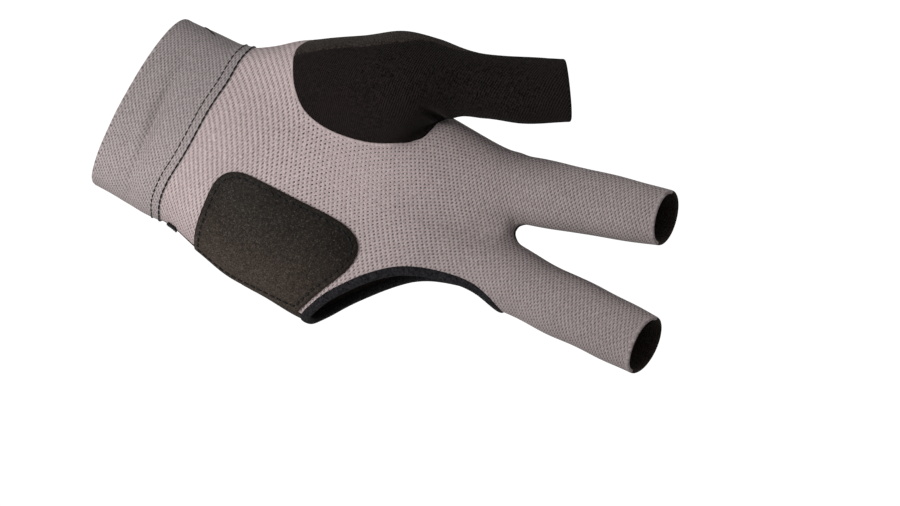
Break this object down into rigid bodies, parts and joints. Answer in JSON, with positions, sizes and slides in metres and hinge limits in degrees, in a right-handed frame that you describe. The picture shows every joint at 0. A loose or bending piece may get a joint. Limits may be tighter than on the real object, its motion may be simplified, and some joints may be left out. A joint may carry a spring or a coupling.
{
  "type": "billiard glove",
  "caption": "Billiard glove for the left hand in its worn form, with a mesh palm and cuff, black back and thumb, suede heel patch, open finger sleeves and a bound opening for the outer fingers.",
  "frame": {"origin": "centre of the cuff's open mouth, where the wrist goes in", "axes": "+X along the hand towards the fingertips, -Y out of the palm, +Z towards the thumb"},
  "size_m": [0.1916, 0.0483, 0.1041],
  "materials": {
    "mesh_knit": "warm grey bird's-eye mesh knit with rows of small dark holes",
    "stretch_knit": "black stretch knit, matt",
    "ribbed_knit": "black knit with fine slanting ribs, matt",
    "suede": "charcoal suede with a short nap",
    "binding_tape": "black ribbed binding tape"
  },
  "bodies": {
    "root": {"cuff": "mesh_knit", "palm_panel": "mesh_knit", "back_panel": "stretch_knit", "thumb_panel": "ribbed_knit", "heel_patch": "suede", "opening_binding": "binding_tape"}
  },
  "joints": []
}
